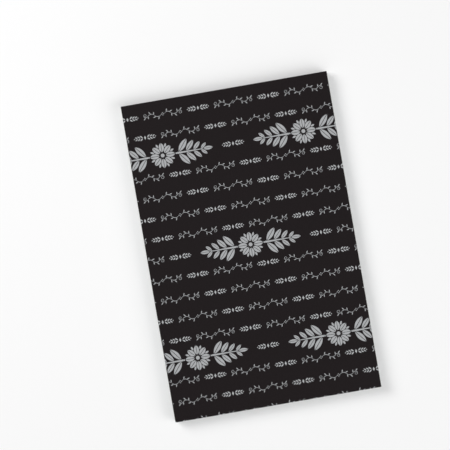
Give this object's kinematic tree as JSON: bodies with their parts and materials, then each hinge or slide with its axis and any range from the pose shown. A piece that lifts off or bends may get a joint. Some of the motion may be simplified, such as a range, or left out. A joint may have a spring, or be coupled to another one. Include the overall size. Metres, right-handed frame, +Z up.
{
  "type": "legal pad",
  "caption": "Closed writing pad of ruled sheets glued at the head to a grey board, in one black card that wraps over the head and opens upwards as the cover.",
  "frame": {"origin": "middle of the pad's underside, on the surface that it lies on", "axes": "+X to the reader's right across the pad, +Y along the pad towards the glued head, +Z up out of the front cover"},
  "size_m": [0.1404, 0.2156, 0.0088],
  "materials": {
    "cover_card": "matt black print on white card",
    "ruled_paper": "uncoated writing paper with pale blue rules",
    "grey_board": "uncoated recycled greyboard",
    "padding_compound": "dried flexible padding glue"
  },
  "bodies": {
    "pad": {"sheet_block": "ruled_paper", "backing_board": "grey_board", "padding_glue": "padding_compound", "spine_wrap": "cover_card"},
    "cover": {"front_cover": "cover_card"}
  },
  "joints": [
    {"name": "cover_hinge", "type": "hinge", "parent": "pad", "child": "cover", "pos_m": [0, 0.10777, 0.0088], "axis": [-1, 0, 0], "range_deg": [0, 180]}
  ]
}
